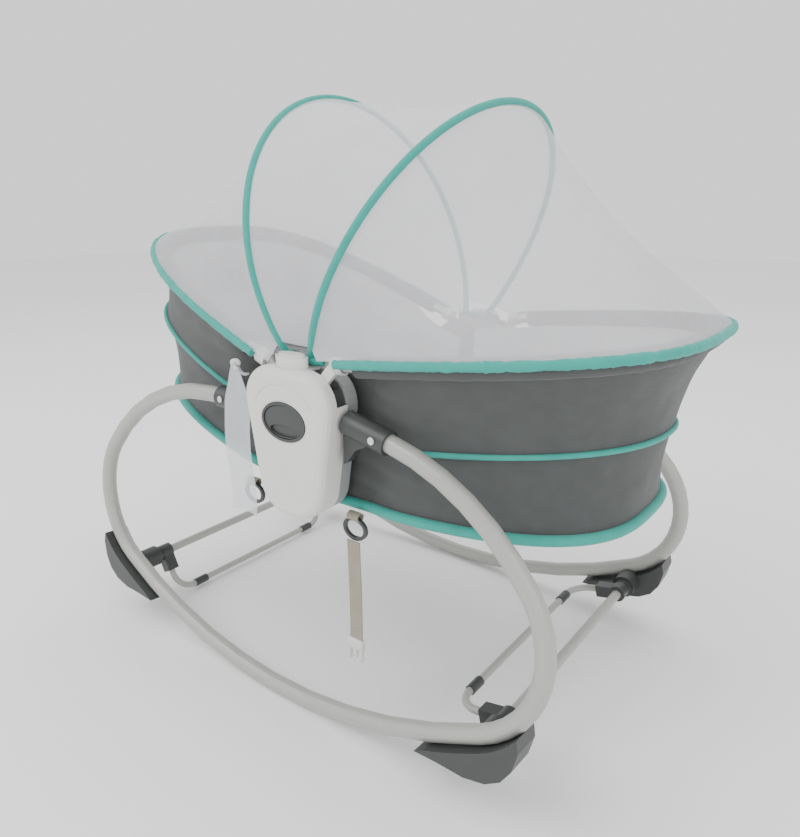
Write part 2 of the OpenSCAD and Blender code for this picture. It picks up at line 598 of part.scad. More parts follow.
// A round cord swept along points, with 8 sides
SIDES = 8;
function unit(v) = v / max(norm(v), 0.000001);
module swept(path, d) {
    n = len(path);
    function dir(i) = unit(path[min(i + 1, n - 1)] - path[max(i - 1, 0)]);
    loft([for (i = [0:n - 1]) let (t = dir(i), u = unit(cross(t, [0, 0, 1])), v = cross(u, t))
        [for (k = [SIDES - 1:-1:0]) path[i] + d / 2 * (u * cos(360 * k / SIDES) + v * sin(360 * k / SIDES))]]);
}
// The part of a ring that starts some way beyond the hub line
function beyond(start, r) = [for (i = [0:7]) i == 7 ? start : r[i]];
module ring_cord(end, r, start, d, out) { color("mediumaquamarine") swept(ring(end, beyond(start, r), -out), d); }
module piping(end) {
    // each cord starts clear of the arm's socket and of the hub shell
    ring_cord(end, mid_ring(end), end == HEAD ? 146 : 70, mid_piping_d, mid_piping_d / 2 + 0.6);
    ring_cord(end, low_ring(end), 68, low_piping_d, low_piping_d / 2 + 0.6);
}

// ---- Net canopy ---------------------------------------------------------

hem_d = 6;
function hem_ring(end, start) = [bow_len(end), bow_y, bow_y, 3, bow_z(end) + 4, bow_len(end) * tan(rise(end)), 1, start];
module hem(end) { ring_cord(end, hem_ring(end, 84), 84, hem_d, bow_d / 2 + hem_d / 2 + 4); }

hoop_up = sqrt(hoop_r * hoop_r - hoop_out * hoop_out);
hoop_half = 180 - acos(hoop_up / hoop_r);
function lean(end) = end == HEAD ? -head_hoop_lean : foot_hoop_lean;
module hoop(end) {
    color("mediumaquamarine") translate([hub_x + hoop_along(end), 0, hoop_z]) rotate([0, lean(end), 0]) difference() {
        union() {
            rotate([90, 0, 90]) translate([0, hoop_up, 0]) ring_arc(hoop_r, 90 - hoop_half, 90 + hoop_half, hoop_d);
            both_sides() across(hoop_d + 4, hoop_out - 4, hoop_out + 4);
        }
        both_sides() across(4 + 2 * running, hoop_out - 6, hoop_out + 6);
    }
}
NET_STEPS = 28;
// Points along an arch over the hub line, from the near side to the far side
function arch(x, r, angle, from = 0) = [
    for (i = [0:NET_STEPS]) let (half = hoop_half - from, a = -half + 2 * half * i / NET_STEPS,
        y = r * sin(a), h = hoop_up + r * cos(a)) [x + h * sin(angle), y, hoop_z + h * cos(angle)]
];
net_out = hoop_d / 2 + 2.7;
function hoop_line(end, dx, from = 3) = [for (p = arch(hub_x + hoop_along(end), hoop_r + net_out, lean(end), from)) p + [dx, 0, 0]];
// The net's edge just over the bow
function rim_line(end) = [for (p = ring(end, beyond(20, hem_ring(end, 20)), -2, 14)) p];
function halfway(end) = [for (i = [0:NET_STEPS])
    let (p = mix(rim_line(end)[i], hoop_line(end, end * 4)[i], 0.55))
        p - unit(p - [hub_x, 0, 400]) * 16 * min(1, min(i, NET_STEPS - i) / 6)];
function crown_line() = [for (i = [0:NET_STEPS]) mix(hoop_line(HEAD, 2, 6)[i], hoop_line(FOOT, -2, 6)[i], 0.5)
    - [0, 0, min(1, min(i, NET_STEPS - i) / 6) * 6]];
NET_ROWS = 4;
function net_rows(a, b, sag, in) = [
    for (i = [0:NET_ROWS]) let (t = 0.006 + 0.988 * i / NET_ROWS)
        [for (j = [0:NET_STEPS]) let (p = mix(a[j], b[j], t)) p - unit(p - [hub_x, 0, 380]) * (sag * 4 * t * (1 - t) + in)]
];
module net(a, b, sag, flip) { color("white") shell_between(net_rows(a, b, sag, 0), net_rows(a, b, sag, net_t), flip); }

// ---- Rings, webbing, strap and flap -------------------------------------

ring_place = [-105, 62];        // ring places from the hub: head side, foot side
ring_z = 236;
ring_y = 172;
strap_w = 18;
strap_len = 126;
module rings(end) {
    color("black") both_sides() translate([hub_x + ring_place[end == HEAD ? 0 : 1], 0, ring_z]) difference() {
        plate(ring_y - 2, ring_y + 2, ellipse(34, 28));
        plate(ring_y - 3, ring_y + 3, ellipse(26, 20));
    }
}
// The hanging strap, from its ring down to its buckle half
module strap() {
    color("tan") translate([hub_x + ring_place[1] - strap_w / 2, -ring_y - 4.6, ring_z - 14 - strap_len])
        cube([strap_w, 1.6, strap_len]);
}
module strap_buckle() {
    color("white") translate([hub_x + ring_place[1] - strap_w / 2 - 3, -ring_y - 7.6, ring_z - 14 - strap_len - 31])
        cube([strap_w + 6, 8, 30.6]);
}
// The clear flap that hangs beside the near hub
module clear_flap() { color("lightblue") translate([hub_x - 109, -arm_y - 20, 226]) cube([44, 1.2, 200]); }

loop_tube(NEAR, HEAD);  // near_loop_head_tube
loop_tube(NEAR, FOOT);  // near_loop_foot_tube
loop_tube(FAR, HEAD);  // far_loop_head_tube
loop_tube(FAR, FOOT);  // far_loop_foot_tube
loop_joint_sleeves();
arms(HEAD);  // head_arms
arms(FOOT);  // foot_arms
frame_fasteners();
hub_cover(NEAR);  // near_hub_cover
hub_cover(FAR);  // far_hub_cover
hub_shell(NEAR);  // near_hub_shell
hub_shell(FAR);  // far_hub_shell
hub_axles();
latch_rings();
latch(NEAR);  // near_latch
latch(FAR);  // far_latch
lock_bolt(NEAR);  // near_lock_bolt
lock_bolt(FAR);  // far_lock_bolt
bolt_spring(NEAR);  // near_bolt_spring
bolt_spring(FAR);  // far_bolt_spring
button(NEAR);  // near_button
button(FAR);  // far_button
feet(HEAD);  // head_feet
feet(FOOT);  // foot_feet
cross_tube(HEAD);  // head_cross_tube
cross_tube(FOOT);  // foot_cross_tube
cross_tube_caps();
bail(HEAD);  // head_bail
bail(FOOT);  // foot_bail
bail_grips(HEAD);  // head_bail_grips
bail_grips(FOOT);  // foot_bail_grips
bow(HEAD);  // head_bow
bow(FOOT);  // foot_bow
bow_plates(HEAD);  // head_bow_plates
bow_plates(FOOT);  // foot_bow_plates
seat(HEAD);  // head_seat
seat(FOOT);  // foot_seat
pad(HEAD);  // head_pad
pad(FOOT);  // foot_pad
wall(HEAD);  // head_wall
wall(FOOT);  // foot_wall
gusset(HEAD);  // head_gusset
gusset(FOOT);  // foot_gusset
piping(HEAD);  // head_piping
piping(FOOT);  // foot_piping
hem(HEAD);  // head_hem
hem(FOOT);  // foot_hem
hoop(HEAD);  // head_hoop
hoop(FOOT);  // foot_hoop
net(rim_line(HEAD), halfway(HEAD), 0, false);  // net_head_outer
net(halfway(HEAD), hoop_line(HEAD, -4), 0, false);  // net_head_inner
net(hoop_line(HEAD, 2, 6), crown_line(), 4, false);  // net_crown_head
net(crown_line(), hoop_line(FOOT, -2, 6), 4, false);  // net_crown_foot
net(hoop_line(FOOT, 4), halfway(FOOT), 0, false);  // net_foot_inner
net(halfway(FOOT), rim_line(FOOT), 0, false);  // net_foot_outer
rings(HEAD);  // head_rings
rings(FOOT);  // foot_rings
strap();
strap_buckle();
clear_flap();
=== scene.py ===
# %% [markdown]
# # A rocking baby seat with a net canopy
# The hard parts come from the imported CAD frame. This lesson dresses them: it gives each part a
# material, then models the cloth basket, pads, net, pipings, strap and flap as new meshes.

# %%
import bpy, math
from mathutils import Vector, Matrix, noise
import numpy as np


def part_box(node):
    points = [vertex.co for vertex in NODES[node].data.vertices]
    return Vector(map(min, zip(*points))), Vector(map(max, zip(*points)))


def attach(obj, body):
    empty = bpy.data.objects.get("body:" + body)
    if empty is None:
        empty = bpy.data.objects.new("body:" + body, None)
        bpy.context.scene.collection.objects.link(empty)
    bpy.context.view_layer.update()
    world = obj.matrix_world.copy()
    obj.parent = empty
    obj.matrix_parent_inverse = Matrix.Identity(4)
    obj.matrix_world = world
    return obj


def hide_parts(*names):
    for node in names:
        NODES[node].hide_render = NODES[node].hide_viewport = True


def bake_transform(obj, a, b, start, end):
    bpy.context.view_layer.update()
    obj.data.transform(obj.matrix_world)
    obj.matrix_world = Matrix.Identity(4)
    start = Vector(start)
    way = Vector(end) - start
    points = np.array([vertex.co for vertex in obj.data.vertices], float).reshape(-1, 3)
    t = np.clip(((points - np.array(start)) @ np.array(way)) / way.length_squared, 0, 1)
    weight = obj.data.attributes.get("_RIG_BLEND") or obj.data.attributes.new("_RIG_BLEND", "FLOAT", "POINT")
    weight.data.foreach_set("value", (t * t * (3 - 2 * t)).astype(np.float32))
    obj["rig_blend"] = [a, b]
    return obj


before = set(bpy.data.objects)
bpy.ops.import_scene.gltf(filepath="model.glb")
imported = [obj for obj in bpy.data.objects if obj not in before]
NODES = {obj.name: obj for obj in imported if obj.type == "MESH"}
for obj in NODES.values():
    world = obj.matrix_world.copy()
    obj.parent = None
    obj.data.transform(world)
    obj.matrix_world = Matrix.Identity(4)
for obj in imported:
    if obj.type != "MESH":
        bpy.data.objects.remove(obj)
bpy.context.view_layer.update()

# %% [markdown]
# ## Shader maths
# A small class lets us write shader nodes as sums: `noise * 0.3 + 0.5` makes the nodes for us.

# %%
class Value:
    def __init__(self, tree, socket):
        self.tree, self.socket = tree, socket

    def join(self, kind, other, third=None):
        node = self.tree.nodes.new("ShaderNodeMath")
        node.operation = kind
        for i, v in enumerate((self, other, third)):
            if isinstance(v, Value):
                self.tree.links.new(v.socket, node.inputs[i])
            elif v is not None:
                node.inputs[i].default_value = v
        return Value(self.tree, node.outputs[0])

    def __add__(self, o): return self.join("ADD", o)
    def __sub__(self, o): return self.join("SUBTRACT", o)
    def __mul__(self, o): return self.join("MULTIPLY", o)
    def sine(self): return self.join("SINE", None)
    def power(self, o): return self.join("POWER", o)
    def above(self, o): return self.join("GREATER_THAN", o)
    def highest(self, o): return self.join("MAXIMUM", o)
    def clamped(self): return self.join("MULTIPLY_ADD", 1.0, 0.0)


class Paint:
    """A material with one Principled shader, and helpers for what varies over it."""

    def __init__(self, name, colour, roughness=0.5, metallic=0.0, coat=0.0):
        self.material = bpy.data.materials.new(name)
        self.material.use_nodes = True
        self.tree = self.material.node_tree
        self.shader = next(n for n in self.tree.nodes if n.type == "BSDF_PRINCIPLED")
        self.shader.inputs["Base Color"].default_value = (*colour, 1)
        self.shader.inputs["Roughness"].default_value = roughness
        self.shader.inputs["Metallic"].default_value = metallic
        self.shader.inputs["Coat Weight"].default_value = coat
        self.colour = colour

    def object_axes(self):
        node = self.tree.nodes.new("ShaderNodeTexCoord")
        split = self.tree.nodes.new("ShaderNodeSeparateXYZ")
        self.tree.links.new(node.outputs["Object"], split.inputs[0])
        return [Value(self.tree, split.outputs[i]) for i in range(3)]

    def along_uv(self):
        node = self.tree.nodes.new("ShaderNodeUVMap")
        node.uv_map = "cloth"
        split = self.tree.nodes.new("ShaderNodeSeparateXYZ")
        self.tree.links.new(node.outputs["UV"], split.inputs[0])
        return [Value(self.tree, split.outputs[i]) for i in range(2)]

    def noise(self, scale, detail=3.0):
        where = self.tree.nodes.new("ShaderNodeTexCoord")
        node = self.tree.nodes.new("ShaderNodeTexNoise")
        node.inputs["Scale"].default_value = scale
        node.inputs["Detail"].default_value = detail
        self.tree.links.new(where.outputs["Object"], node.inputs["Vector"])
        return Value(self.tree, node.outputs["Fac"])

    def tint(self, amount, dark, light):
        ramp = self.tree.nodes.new("ShaderNodeMapRange")
        self.tree.links.new(amount.socket, ramp.inputs[0])
        mix = self.tree.nodes.new("ShaderNodeMix")
        mix.data_type = "RGBA"
        mix.inputs[6].default_value = (*dark, 1)
        mix.inputs[7].default_value = (*light, 1)
        self.tree.links.new(ramp.outputs[0], mix.inputs[0])
        self.tree.links.new(mix.outputs[2], self.shader.inputs["Base Color"])

    def feed(self, name, amount):
        self.tree.links.new(amount.socket, self.shader.inputs[name])

    def bump(self, height, strength, distance=0.001):
        node = self.tree.nodes.new("ShaderNodeBump")
        node.inputs["Strength"].default_value = strength
        node.inputs["Distance"].default_value = distance
        self.tree.links.new(height.socket, node.inputs["Height"])
        self.tree.links.new(node.outputs["Normal"], self.shader.inputs["Normal"])


def shade(c, k):
    return tuple(min(1, v * k) for v in c)


def smooth_plastic(name, colour, roughness, coat=0.0, grain=0.1):
    p = Paint(name, colour, roughness, 0.0, coat)
    n = p.noise(420, 2)
    p.tint(n, shade(colour, 0.97), shade(colour, 1.03))
    p.feed("Roughness", n * 0.12 + (roughness - 0.06))
    p.bump(n, grain, 0.0002)
    return p.material


def metal(name, colour, roughness, metallic):
    p = Paint(name, colour, roughness, metallic, 0.0)
    n = p.noise(160, 3)
    p.tint(n, shade(colour, 0.97), shade(colour, 1.03))
    p.feed("Roughness", n * 0.1 + (roughness - 0.05))
    p.bump(p.noise(900, 1), 0.04, 0.0002)
    return p.material


def woven(name, colour, roughness=0.9, threads=5200.0, depth=0.35):
    """Plain weave: two sets of threads along the cloth's own UV, and a soft mottle."""
    p = Paint(name, colour, roughness)
    u, v = p.along_uv()
    weave = (u * threads).sine() * (v * threads).sine()
    mottle = p.noise(55, 4)
    p.tint(mottle * 0.7 + weave * 0.12 + 0.1, shade(colour, 0.78), shade(colour, 1.2))
    p.bump(weave * 0.5 + mottle * 2.0, depth, 0.0006)
    p.shader.inputs["Sheen Weight"].default_value = 0.15
    return p.material


WHITE = smooth_plastic("white_plastic_paint", (0.70, 0.69, 0.67), 0.34, 0.1)
# painted shade: the hub's rear shell is drawn in this darker grey for the shade it lies in
HUB_SHELL_PAINTED_SHADE = smooth_plastic("hub_shell_painted_shade_paint", (0.30, 0.31, 0.31), 0.5)
DARK = smooth_plastic("dark_plastic_paint", (0.042, 0.045, 0.044), 0.42, 0.0, 0.3)
TUBE = metal("painted_tube_paint", (0.40, 0.40, 0.375), 0.38, 0.15)
STEEL = metal("steel_paint", (0.7, 0.7, 0.7), 0.22, 1.0)
BARE = metal("bare_tube_paint", (0.45, 0.45, 0.45), 0.35, 0.8)
FABRIC = woven("grey_fabric_paint", (0.072, 0.077, 0.076))
# painted shade: the gusset is real cloth, drawn darker than the basket fabric for the shaded gap between hub and
# basket
GUSSET_PAINTED_SHADE = woven("gusset_painted_shade_paint", (0.05, 0.055, 0.054))
TEAL = woven("teal_fabric_paint", (0.018, 0.345, 0.285), 0.75, 6200, 0.25)
WEBBING = woven("webbing_paint", (0.32, 0.29, 0.23), 0.85, 3000, 0.5)
LINING = woven("lining_paint", (0.55, 0.56, 0.56), 0.9, 4200, 0.2)
PADDING = woven("pad_fabric_paint", (0.42, 0.44, 0.44), 0.9, 4200, 0.3)


def net_paint():
    """Sheer net: mostly see-through, with a fine honeycomb of threads."""
    p = Paint("net_paint", (0.86, 0.86, 0.89), 0.8)
    u, v = p.along_uv()
    cells = ((u * 2600.0).sine() * (v * 2600.0).sine()).power(2.0)
    soft = p.noise(9, 3)
    clear = p.tree.nodes.new("ShaderNodeBsdfTransparent")
    mix = p.tree.nodes.new("ShaderNodeMixShader")
    out = next(n for n in p.tree.nodes if n.type == "OUTPUT_MATERIAL")
    p.tree.links.new((cells * 0.14 + soft * 0.16 + 0.22).socket, mix.inputs[0])
    p.tree.links.new(clear.outputs[0], mix.inputs[1])
    p.tree.links.new(p.shader.outputs[0], mix.inputs[2])
    p.tree.links.new(mix.outputs[0], out.inputs["Surface"])
    p.bump(cells, 0.2, 0.0003)
    return p.material


def film_paint():
    p = Paint("clear_film_paint", (0.75, 0.77, 0.80), 0.25)
    n = p.noise(14, 3)
    clear = p.tree.nodes.new("ShaderNodeBsdfTransparent")
    mix = p.tree.nodes.new("ShaderNodeMixShader")
    out = next(n2 for n2 in p.tree.nodes if n2.type == "OUTPUT_MATERIAL")
    p.tree.links.new((n * 0.2 + 0.35).socket, mix.inputs[0])
    p.tree.links.new(clear.outputs[0], mix.inputs[1])
    p.tree.links.new(p.shader.outputs[0], mix.inputs[2])
    p.tree.links.new(mix.outputs[0], out.inputs["Surface"])
    p.bump(n, 0.2, 0.001)
    return p.material


NET = net_paint()
FILM = film_paint()

# %% [markdown]
# ## Paint for the CAD parts
# Each CAD node takes one of the paints, by its name. Smooth shading hides the facets of round tubes.

# %%
PAINT_BY_WORD = [
    ("hub_cover", WHITE), ("button", WHITE), ("bow_plates", WHITE), ("buckle", WHITE),
    # the hub shell takes the grey that has painted shade in it
    ("hub_shell", HUB_SHELL_PAINTED_SHADE), ("hub_axles", STEEL), ("fasteners", STEEL), ("bolt", STEEL),
    ("loop_joint", BARE), ("loop", TUBE), ("cross_tube_caps", DARK), ("cross_tube", TUBE),
    ("grips", DARK), ("head_bail", TUBE), ("foot_bail", TUBE), ("arms", DARK), ("latch", DARK),
    ("feet", DARK), ("rings", DARK), ("seat", BARE), ("hoop", TEAL), ("bow", BARE), ("net", NET),
    ("wall", FABRIC), ("gusset", GUSSET_PAINTED_SHADE), ("piping", TEAL), ("hem", TEAL), ("pad", PADDING),
    ("strap", WEBBING), ("flap", FILM),
]


def deselect():
    if bpy.context.object and bpy.context.object.mode != "OBJECT":
        bpy.ops.object.mode_set(mode="OBJECT")
    bpy.ops.object.select_all(action="DESELECT")


def pick(o):
    deselect()
    bpy.context.view_layer.objects.active = o
    o.select_set(True)


def uv_from_place(o, name="cloth"):
    """Plain UVs from the mesh's own places, for pieces whose paint follows the cloth."""
    layer = o.data.uv_layers.get(name) or o.data.uv_layers.new(name=name)
    for loop in o.data.loops:
        p = o.data.vertices[loop.vertex_index].co
        layer.data[loop.index].uv = (p.x + p.y * 0.3, p.z + p.y * 0.7)


for name, node in NODES.items():
    if node.type != "MESH":
        continue
    paint = next(p for word, p in PAINT_BY_WORD if word in name)
    node.data.materials.clear()
    node.data.materials.append(paint)
    for face in node.data.polygons:
        face.material_index = 0
    if paint in (TEAL, FABRIC, GUSSET_PAINTED_SHADE, WEBBING, PADDING, NET):
        uv_from_place(node)
    if not node.hide_render:
        pick(node)
        bpy.ops.object.shade_smooth_by_angle(angle=math.radians(32))
deselect()

# %% [markdown]
# ## Shapes of the cloth
# The basket is a stack of rounded rings. `ring` walks one of them, from the near hub line round the
# end to the far hub line, and everything sewn to the basket uses the same rings.

# %%
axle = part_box("near_lock_bolt")
HUB = (axle[0][0] + axle[1][0]) / 2
HEAD, FOOT = -1, 1
BOW_Y = 0.187
RISE = {HEAD: math.tan(math.radians(22)), FOOT: math.tan(math.radians(6.5))}
BOW = {HEAD: (0.352, 0.397), FOOT: (0.364, 0.418)}
RINGS = {
    (HEAD, "rim"): (0.352, 0.156, BOW_Y - 0.003, 3, 0.386, 0.352 * RISE[HEAD], 1, 0.012),
    (FOOT, "rim"): (0.364, 0.156, BOW_Y - 0.003, 3, 0.408, 0.364 * RISE[FOOT], 1, 0.012),
    (HEAD, "mid"): (0.372, 0.158, 0.167, 3.4, 0.330, 0.122, 1.3, 0.014),
    (FOOT, "mid"): (0.338, 0.158, 0.169, 2.3, 0.330, 0.030, 1.3, 0.014),
    (HEAD, "low"): (0.378, 0.156, 0.160, 3, 0.258, 0.078, 1.3, 0.024),
    (FOOT, "low"): (0.326, 0.156, 0.162, 3, 0.258, 0.011, 1.3, 0.024),
}
BELLY = 0.014


def ring_at(end, r, s, inset=0.0, lift=0.0, start=None):
    """One point of a ring; s runs from -1 (near hub line) through 0 (the end) to 1 (far hub line)."""
    t0 = math.asin(((r[7] if start is None else start) / r[0]) ** (r[3] / 2))
    t = math.pi / 2 - (math.pi / 2 - t0) * abs(s)
    u, v = math.sin(t) ** (2 / r[3]), max(math.cos(t), 0) ** (2 / r[3])
    x = (r[0] - inset) * u
    flare = min(max((x - 0.062) / 0.060, 0), 1)
    w = r[1] + (r[2] - r[1]) * flare * flare * (3 - 2 * flare)
    return Vector((HUB + end * x, (-1 if s < 0 else 1) * (w - inset) * v, r[4] + r[5] * u ** r[6] + lift))


def grid(name, nu, nv, place, closed_u=False):
    """A sheet of nu x nv points, made from the grid primitive, each point moved by place(u, v)."""
    deselect()
    bpy.ops.mesh.primitive_grid_add(x_subdivisions=nu - 1, y_subdivisions=nv - 1, size=2)
    o = bpy.context.object
    o.name = name
    flat = [(v.co.x, v.co.y) for v in o.data.vertices]
    layer = o.data.uv_layers.new(name="cloth")
    points = [place((x + 1) / 2, (y + 1) / 2) for x, y in flat]
    for v, p in zip(o.data.vertices, points):
        v.co = p
    # UVs in metres, taken from each point's place
    for loop in o.data.loops:
        p, (x, y) = points[loop.vertex_index], flat[loop.vertex_index]
        layer.data[loop.index].uv = (p.x + p.y * 0.3, p.z + p.y * 0.7)
    o.data.update()
    return o


def edit(o, *steps):
    pick(o)
    bpy.ops.object.mode_set(mode="EDIT")
    bpy.ops.mesh.select_all(action="SELECT")
    for step in steps:
        step()
    bpy.ops.object.mode_set(mode="OBJECT")


def outward(o):
    edit(o, lambda: bpy.ops.mesh.normals_make_consistent(inside=False))


def modify(o, kind, **settings):
    pick(o)
    m = o.modifiers.new(kind.lower(), kind)
    for key, value in settings.items():
        setattr(m, key, value)
    bpy.ops.object.modifier_apply(modifier=m.name)
    return o


def finish_piece(o, paint, angle=45):
    o.data.materials.clear()
    o.data.materials.append(paint)
    pick(o)
    bpy.ops.object.shade_smooth_by_angle(angle=math.radians(angle))
    return o


def tube(name, path, radius, sides=12, squash=1.0):
    """A round cord along a path, closed at both ends. radius may be a function of the place along it."""
    r_at = radius if callable(radius) else (lambda t: radius)
    n = len(path)
    frames, up = [], Vector((0, 0, 1))
    for i in range(n):
        d = (path[min(i + 1, n - 1)] - path[max(i - 1, 0)]).normalized()
        side = d.cross(up).normalized()
        frames.append((side, side.cross(d)))

    def place(u, v):
        i = min(int(round(u * (n - 1))), n - 1)
        a = v * math.tau
        side, top = frames[i]
        return path[i] + (side * math.cos(a) + top * math.sin(a) * squash) * r_at(i / (n - 1))

    o = grid(name, n, sides + 1, place)
    edit(o, lambda: bpy.ops.mesh.remove_doubles(threshold=1e-6),
         lambda: bpy.ops.mesh.select_all(action="DESELECT"),
         lambda: bpy.ops.mesh.select_non_manifold(),
         lambda: bpy.ops.mesh.edge_face_add() if False else bpy.ops.mesh.fill_holes(sides=sides + 2))
    outward(o)
    return o


# %% [markdown]
# ## The basket
# Each half is one sheet: down the side from the rim, over the lower piping and in under the floor.
# Small folds come from noise, deepest between the pipings. Solidify gives it thickness.

# %%
def mixed(a, b, t):
    return a + (b - a) * t


def wall_point(end, u, v, inset=0.0):
    """u: 0 rim .. 0.7 lower piping .. 1 middle of the floor. v: 0 near hub line .. 1 far hub line."""
    s = v * 2 - 1
    rim, mid, low = RINGS[end, "rim"], RINGS[end, "mid"], RINGS[end, "low"]
    if u <= 0.7:
        t = u / 0.35
        a, b, t = (rim, mid, t) if t <= 1 else (mid, low, t - 1)
        pull = 0.004 * 4 * t * (1 - t) + inset
        p = mixed(ring_at(end, a, s, pull), ring_at(end, b, s, pull), t)
        depth = 4 * t * (1 - t)
        # soft upright folds near the hub line and slack between the pipings
        edge = min(v, 1 - v)
        fold = noise.noise(Vector((p.x * 16, p.y * 16, p.z * 7 + end))) * 0.0035
        fold += math.sin(p.z * 210 + p.x * 40) * 0.0016 * max(0, 1 - edge / 0.22)
        fold += noise.noise(Vector((p.x * 42, p.y * 42, p.z * 30))) * 0.0012
        away = Vector((p.x - HUB, p.y * 1.6, 0)).normalized()
        return p + away * fold * depth
    t = (u - 0.7) / 0.3
    k = 1 - t
    x0 = HUB + end * low[7]
    p = ring_at(end, low, s, inset)
    k = 0.02 + 0.98 * k
    x = x0 + (p.x - x0) * k
    return Vector((x, p.y * k, floor_z(end, x) - BELLY * (1 - k * k)))


def floor_z(end, x):
    low = RINGS[end, "low"]
    return low[4] + low[5] * (abs(x - HUB) / low[0]) ** low[6]


def basket(end, name):
    o = grid(name, 61, 97, lambda u, v: wall_point(end, u, v))
    outward(o)
    modify(o, "SOLIDIFY", thickness=0.003, offset=-1)
    outward(o)
    finish_piece(o, FABRIC)
    # the faces that look into the basket carry the pale lining
    o.data.materials.append(LINING)
    middle = Vector((HUB, 0, 0.45))
    for face in o.data.polygons:
        if face.normal.dot(middle - face.center) > 0:
            face.material_index = 1
    return o


for end, part in ((HEAD, "head"), (FOOT, "foot")):
    o = basket(end, f"{part}_basket")
    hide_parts(f"{part}_wall")
    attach(o, f"{part}_section")


# %%
def bend_by(o, a, b, weight):
    """The piece bends between bodies a and b, by a weight kept at each point: 0 follows a, 1 follows b."""
    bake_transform(o, a, b, (0, 0, 0), (0.001, 0, 0))
    attribute = o.data.attributes["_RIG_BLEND"]
    for v, item in zip(o.data.vertices, attribute.data):
        t = min(max(weight(v.co), 0), 1)
        item.value = t * t * (3 - 2 * t)


def gusset(end, part):
    """The stretch of cloth between a basket half and the hub line, painted darker for the shade in the gap there.
    """
    def place(u, v):
        q = v * 2
        side = 0.0 if q <= 1 else 1.0
        uu = q if q <= 1 else 2 - q
        edge = wall_point(end, min(uu, 0.995), side)
        x = mixed(HUB + end * 0.0002, edge.x - end * 0.0002, u)
        return Vector((x, edge.y - (0.0015 if edge.y > 0 else -0.0015), edge.z))
    o = grid(f"{part}_side_gusset", 5, 81, place)
    outward(o)
    modify(o, "SOLIDIFY", thickness=0.0022, offset=0)
    outward(o)
    finish_piece(o, GUSSET_PAINTED_SHADE)
    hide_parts(f"{part}_gusset")
    bend_by(o, "frame", f"{part}_section", lambda p: abs(p.x - HUB) / 0.024)
    return o


for end, part in ((HEAD, "head"), (FOOT, "foot")):
    gusset(end, part)

# %% [markdown]
# ## Pipings and hems
# A piping is a cord sewn along a ring. The lower one is a wide binding. The net's hem is gathered,
# so its radius ripples.

# %%
def ring_path(end, r, start, out, count=96, lift=0.0):
    return [ring_at(end, r, -1 + 2 * i / (count - 1), -out, lift, start) for i in range(count)]


for end, part in ((HEAD, "head"), (FOOT, "foot")):
    thin = tube(f"{part}_mid_cord", ring_path(end, RINGS[end, "mid"], 0.064, 0.0014), 0.0030, 12)
    wide = tube(f"{part}_low_cord", ring_path(end, RINGS[end, "low"], 0.028, 0.0020), 0.0058, 12, 1.0)
    pick(thin)
    wide.select_set(True)
    bpy.ops.object.join()
    thin.name = f"{part}_pipings"
    finish_piece(thin, TEAL, 60)
    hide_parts(f"{part}_piping")
    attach(thin, f"{part}_section")


def bow_ring(end, dz):
    length, z0 = BOW[end]
    return (length, BOW_Y, BOW_Y, 3, z0 + dz, length * RISE[end], 1, 0.02)


def gathers(t):
    """A cord's radius where elastic has gathered its cloth: uneven, finger-wide bunches."""
    bunch = noise.noise(Vector((t * 95, 0.3, 7))) * 0.55 + noise.noise(Vector((t * 230, 4, 1))) * 0.45
    return 0.0042 + 0.0016 * bunch


for end, part in ((HEAD, "head"), (FOOT, "foot")):
    hem = tube(f"{part}_gathered_hem", ring_path(end, bow_ring(end, 0.004), 0.060, 0.0125, 320), gathers, 12, 1.2)
    finish_piece(hem, TEAL, 60)
    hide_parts(f"{part}_hem")
    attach(hem, f"{part}_section")
    # the basket's cloth turns over the bow in a sleeve
    puckers = lambda t: 0.0098 + 0.0006 * noise.noise(Vector((t * 60, 1, 2)))
    sleeve = tube(f"{part}_rim_sleeve", ring_path(end, bow_ring(end, -0.001), 0.082, 0.0, 160), puckers, 14, 1.12)
    finish_piece(sleeve, FABRIC, 60)
    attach(sleeve, f"{part}_section")

# %% [markdown]
# ## The net
# Six strips of sheer net: rim to half way to hoop at each end, and two over the crown. Strips meet on
# lines that stay with the frame, so nothing tears when a hoop or a basket half turns.

# %%
HOOP_R, HOOP_W, HOOP_D, HOOP_Z = 0.203, 0.182, 0.008, 0.425
HOOP_UP = math.sqrt(HOOP_R ** 2 - HOOP_W ** 2)
HALF = math.pi - math.acos(HOOP_UP / HOOP_R)
FOOT_OF = {HEAD: -0.022, FOOT: 0.013}
LEAN = {HEAD: -math.radians(16), FOOT: math.radians(28)}


def hoop_point(end, s, out=0.0, dx=0.0):
    a = s * (HALF - math.radians(5))
    y, h = (HOOP_R + out) * math.sin(a), HOOP_UP + (HOOP_R + out) * math.cos(a)
    return Vector((HUB + FOOT_OF[end] + h * math.sin(LEAN[end]) + dx, y, HOOP_Z + h * math.cos(LEAN[end])))


def rim_point(end, s):
    length, z0 = BOW[end]
    r = (length, BOW_Y, BOW_Y, 3, z0 + 0.007, length * RISE[end], 1, 0.02)
    return ring_at(end, r, s, -0.012, 0.0, 0.036)


def ends(s):
    return min(1, (1 - abs(s)) * 2.4)


def halfway(end, s):
    p = mixed(rim_point(end, s), hoop_point(end, s), 0.55)
    return p - (p - Vector((HUB, 0, 0.40))).normalized() * 0.017 * ends(s)


def crown(s):
    return mixed(hoop_point(HEAD, s), hoop_point(FOOT, s), 0.5) - Vector((0, 0, 0.007 * ends(s)))


